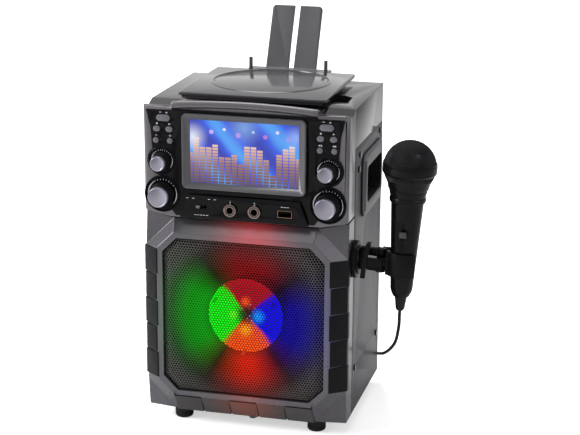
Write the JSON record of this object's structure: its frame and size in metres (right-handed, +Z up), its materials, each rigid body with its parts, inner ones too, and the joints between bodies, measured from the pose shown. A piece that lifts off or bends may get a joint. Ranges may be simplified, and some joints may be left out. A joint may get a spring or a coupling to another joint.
{
  "type": "karaoke machine with disc player",
  "caption": "Upright karaoke machine: top-loading disc well under a hinged lid, colour display, knobs and buttons, lit loudspeaker behind a grille, and a corded microphone on a side clip.",
  "frame": {"origin": "on the floor, in the middle of the cabinet's width, where the front moulding meets the cabinet", "axes": "+X to the viewer's right, -Y out of the front, +Z up"},
  "size_m": [0.2903, 0.32, 0.3991],
  "materials": {
    "cabinet_shell": "dark grey satin",
    "top_cover": "mid grey gloss",
    "rear_panel": "black",
    "baffle": "fibreboard",
    "fascia": "gun-metal grey",
    "fascia_overlay": "gloss black",
    "display_frame": "silver grey",
    "display_panel": "lit display",
    "socket_panel": "gloss black",
    "speaker_bezel": "light grey metallic",
    "grip_blocks": "black",
    "grille": "black powder coat",
    "speaker_basket": "black",
    "speaker_cone": "black paper",
    "speaker_magnet": "ferrite",
    "light_dish": "frosted",
    "light_board": "white",
    "handle_cups": "dark grey",
    "feet": "black",
    "case_screws": "black",
    "main_board": "green",
    "front_board": "green",
    "control_pots": "plain",
    "tact_switches": "black",
    "mic_jacks": "plated",
    "usb_socket": "plated",
    "rear_sockets": "black and plated",
    "disc_chassis": "black",
    "spindle_motor": "plated",
    "lid_hinge_pins": "bright",
    "clip_base": "black",
    "clip_pin": "bright",
    "cord_drop": "black",
    "cord_coil": "black",
    "mic_plug": "plated",
    "disc_lid": "mid grey gloss",
    "turntable": "black",
    "optical_sled": "dark blue grey",
    "sled_screw": "bright",
    "knobs": "silver",
    "buttons": "translucent grey",
    "mode_slider": "grey",
    "cradle": "dark grey",
    "clip_jaw": "black",
    "mic_body": "black soft touch",
    "mic_head": "dark mesh",
    "mic_relief": "black",
    "mic_switch": "dark grey"
  },
  "bodies": {
    "cabinet": {"cabinet_shell": "cabinet_shell", "top_cover": "top_cover", "rear_panel": "rear_panel", "baffle": "baffle", "fascia": "fascia", "fascia_overlay": "fascia_overlay", "display_frame": "display_frame", "display_panel": "display_panel", "socket_panel": "socket_panel", "speaker_bezel": "speaker_bezel", "grip_blocks": "grip_blocks", "grille": "grille", "speaker_basket": "speaker_basket", "speaker_cone": "speaker_cone", "speaker_magnet": "speaker_magnet", "light_dish": "light_dish", "light_board": "light_board", "handle_cups": "handle_cups", "feet": "feet", "case_screws": "case_screws", "main_board": "main_board", "front_board": "front_board", "control_pots": "control_pots", "tact_switches": "tact_switches", "mic_jacks": "mic_jacks", "usb_socket": "usb_socket", "rear_sockets": "rear_sockets", "disc_chassis": "disc_chassis", "spindle_motor": "spindle_motor", "lid_hinge_pins": "lid_hinge_pins", "clip_base": "clip_base", "clip_pin": "clip_pin", "cord_drop": "cord_drop", "cord_coil": "cord_coil", "mic_plug": "mic_plug"},
    "lid": {"disc_lid": "disc_lid"},
    "turntable": {"turntable": "turntable"},
    "sled": {"optical_sled": "optical_sled"},
    "sled_screw": {"sled_screw": "sled_screw"},
    "knob_upper_left": {"knob_upper_left": "knobs"},
    "knob_lower_left": {"knob_lower_left": "knobs"},
    "knob_upper_right": {"knob_upper_right": "knobs"},
    "knob_lower_right": {"knob_lower_right": "knobs"},
    "bar_button_left": {"bar_button_left": "buttons"},
    "oval_button_left_outer": {"oval_button_left_outer": "buttons"},
    "oval_button_left_inner": {"oval_button_left_inner": "buttons"},
    "round_button_left_outer": {"round_button_left_outer": "buttons"},
    "round_button_left_inner": {"round_button_left_inner": "buttons"},
    "bar_button_right": {"bar_button_right": "buttons"},
    "oval_button_right_inner": {"oval_button_right_inner": "buttons"},
    "oval_button_right_outer": {"oval_button_right_outer": "buttons"},
    "round_button_right_inner": {"round_button_right_inner": "buttons"},
    "round_button_right_outer": {"round_button_right_outer": "buttons"},
    "mode_slider": {"mode_slider": "mode_slider"},
    "cradle": {"cradle": "cradle"},
    "clip_jaw": {"clip_jaw": "clip_jaw"},
    "microphone": {"mic_body": "mic_body", "mic_head": "mic_head", "mic_relief": "mic_relief"},
    "mic_switch": {"mic_switch": "mic_switch"}
  },
  "joints": [
    {"name": "lid_hinge", "type": "hinge", "parent": "cabinet", "child": "lid", "pos_m": [0, 0.127, 0.3327], "axis": [-1, 0, 0], "range_deg": [0, 75]},
    {"name": "turntable_spin", "type": "hinge", "parent": "cabinet", "child": "turntable", "pos_m": [0, 0.069, 0.318], "axis": [0, 0, 1], "continuous": true},
    {"name": "sled_slide", "type": "slide", "parent": "cabinet", "child": "sled", "axis": [1, 0, 0], "range_m": [0, 0.029]},
    {"name": "sled_screw_spin", "type": "hinge", "parent": "cabinet", "child": "sled_screw", "pos_m": [0.02, 0.091, 0.31], "axis": [1, 0, 0], "range_deg": [0, 3480]},
    {"name": "knob_upper_left_turn", "type": "hinge", "parent": "cabinet", "child": "knob_upper_left", "pos_m": [-0.0835, -0.031, 0.274], "axis": [0, 1, 0], "range_deg": [-150, 150]},
    {"name": "knob_lower_left_turn", "type": "hinge", "parent": "cabinet", "child": "knob_lower_left", "pos_m": [-0.0835, -0.031, 0.2405], "axis": [0, 1, 0], "range_deg": [-150, 150]},
    {"name": "knob_upper_right_turn", "type": "hinge", "parent": "cabinet", "child": "knob_upper_right", "pos_m": [0.0835, -0.031, 0.274], "axis": [0, 1, 0], "range_deg": [-150, 150]},
    {"name": "knob_lower_right_turn", "type": "hinge", "parent": "cabinet", "child": "knob_lower_right", "pos_m": [0.0835, -0.031, 0.2405], "axis": [0, 1, 0], "range_deg": [-150, 150]},
    {"name": "bar_button_left_push", "type": "slide", "parent": "cabinet", "child": "bar_button_left", "axis": [0, 1, 0], "range_m": [0, 0.001], "stiffness_N_per_m": 900, "springref_m": -0.001},
    {"name": "oval_button_left_outer_push", "type": "slide", "parent": "cabinet", "child": "oval_button_left_outer", "axis": [0, 1, 0], "range_m": [0, 0.001], "stiffness_N_per_m": 900, "springref_m": -0.001},
    {"name": "oval_button_left_inner_push", "type": "slide", "parent": "cabinet", "child": "oval_button_left_inner", "axis": [0, 1, 0], "range_m": [0, 0.001], "stiffness_N_per_m": 900, "springref_m": -0.001},
    {"name": "round_button_left_outer_push", "type": "slide", "parent": "cabinet", "child": "round_button_left_outer", "axis": [0, 1, 0], "range_m": [0, 0.001], "stiffness_N_per_m": 900, "springref_m": -0.001},
    {"name": "round_button_left_inner_push", "type": "slide", "parent": "cabinet", "child": "round_button_left_inner", "axis": [0, 1, 0], "range_m": [0, 0.001], "stiffness_N_per_m": 900, "springref_m": -0.001},
    {"name": "bar_button_right_push", "type": "slide", "parent": "cabinet", "child": "bar_button_right", "axis": [0, 1, 0], "range_m": [0, 0.001], "stiffness_N_per_m": 900, "springref_m": -0.001},
    {"name": "oval_button_right_inner_push", "type": "slide", "parent": "cabinet", "child": "oval_button_right_inner", "axis": [0, 1, 0], "range_m": [0, 0.001], "stiffness_N_per_m": 900, "springref_m": -0.001},
    {"name": "oval_button_right_outer_push", "type": "slide", "parent": "cabinet", "child": "oval_button_right_outer", "axis": [0, 1, 0], "range_m": [0, 0.001], "stiffness_N_per_m": 900, "springref_m": -0.001},
    {"name": "round_button_right_inner_push", "type": "slide", "parent": "cabinet", "child": "round_button_right_inner", "axis": [0, 1, 0], "range_m": [0, 0.001], "stiffness_N_per_m": 900, "springref_m": -0.001},
    {"name": "round_button_right_outer_push", "type": "slide", "parent": "cabinet", "child": "round_button_right_outer", "axis": [0, 1, 0], "range_m": [0, 0.001], "stiffness_N_per_m": 900, "springref_m": -0.001},
    {"name": "mode_slider_slide", "type": "slide", "parent": "cabinet", "child": "mode_slider", "axis": [1, 0, 0], "range_m": [0, 0.006]},
    {"name": "cradle_slide", "type": "slide", "parent": "cabinet", "child": "cradle", "axis": [0, 0, -1], "range_m": [0, 0.055]},
    {"name": "clip_jaw_open", "type": "hinge", "parent": "cabinet", "child": "clip_jaw", "pos_m": [0.13052, 0, 0.18096], "axis": [0.0436, 0, 0.999], "range_deg": [-11, 0], "stiffness_Nm_per_rad": 0.6, "springref_deg": 6.88},
    {"name": "mic_lift", "type": "slide", "parent": "cabinet", "child": "microphone", "axis": [0.0436, 0, 0.999], "range_m": [0, 0.045]},
    {"name": "mic_switch_slide", "type": "slide", "parent": "microphone", "child": "mic_switch", "axis": [0.0436, 0, 0.999], "range_m": [0, 0.005]}
  ],
  "couplings": [
    {"joint": "sled_screw_spin", "follows": "sled_slide", "rad_per_m": 2094.4}
  ]
}
